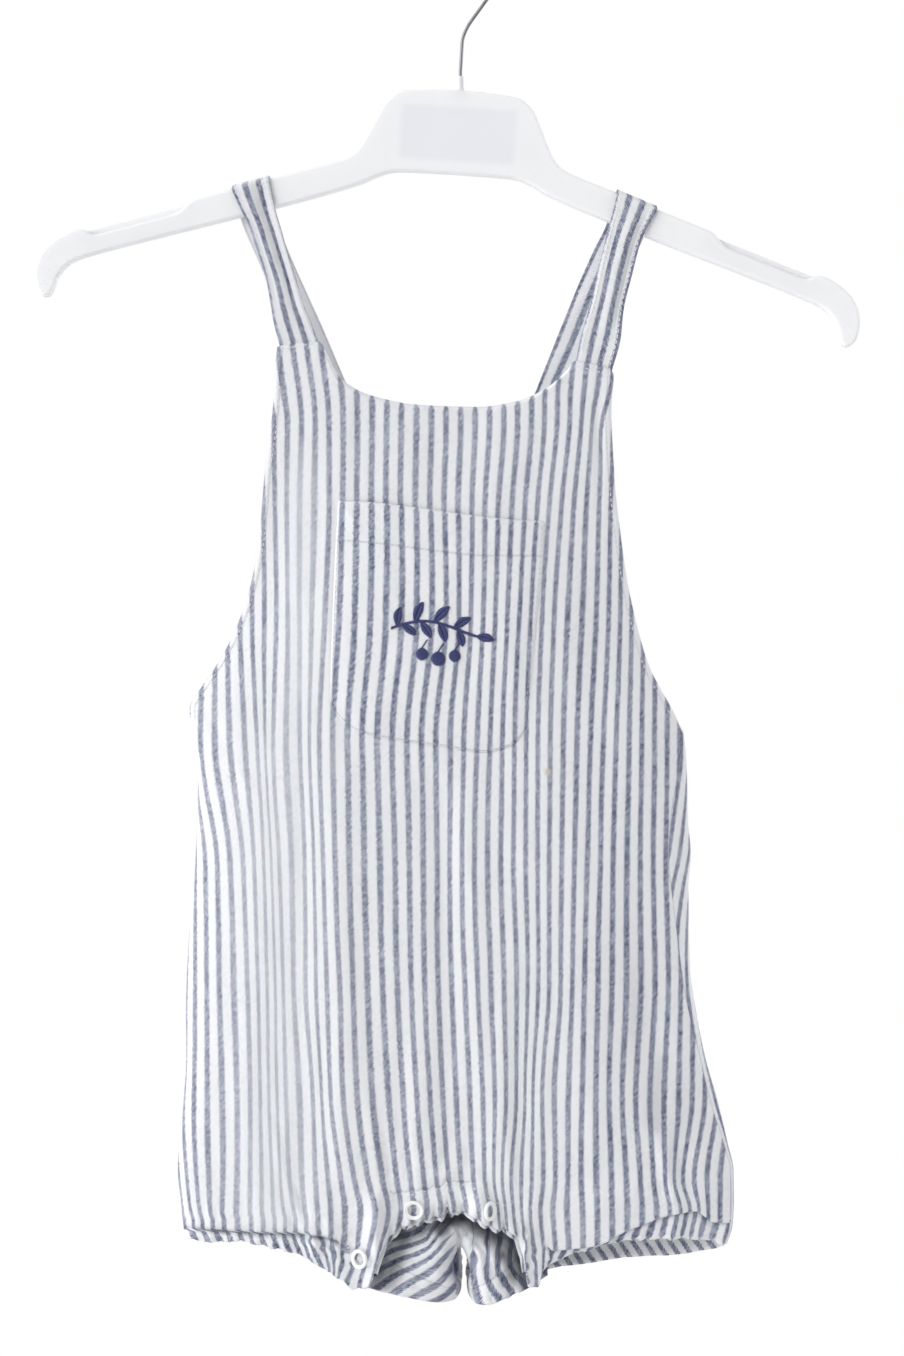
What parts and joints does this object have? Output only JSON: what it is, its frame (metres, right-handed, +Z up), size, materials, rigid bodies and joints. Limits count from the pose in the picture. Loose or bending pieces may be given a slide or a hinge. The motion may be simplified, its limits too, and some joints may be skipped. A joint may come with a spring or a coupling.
{
  "type": "baby dungarees on a hanger",
  "caption": "Striped cotton baby dungarees with shoulder straps that close in towards the elasticated back, a bib pocket, short elasticated legs and a snap inseam, hung on a moulded hanger with a wire hook.",
  "frame": {"origin": "inside of the hook's crown, where a rail carries the hanger", "axes": "+Z up, along the hang; the front of the garment faces -Y; the wearer's left side is +X"},
  "size_m": [0.3613, 0.0401, 0.6148],
  "materials": {
    "cloth": "woven cotton, off-white with slate blue stripes",
    "plastic": "white moulded polypropylene, satin",
    "steel": "dark zinc-plated wire",
    "snap": "white enamelled ring snap"
  },
  "bodies": {
    "root": {"front_panel": "cloth", "back_panel": "cloth", "snap_facing": "cloth", "pocket": "cloth", "strap_left": "cloth", "strap_right": "cloth", "snap_ring_1": "snap", "snap_ring_2": "snap", "snap_ring_3": "snap", "hanger": "plastic", "hanger_hook": "steel"}
  },
  "joints": []
}
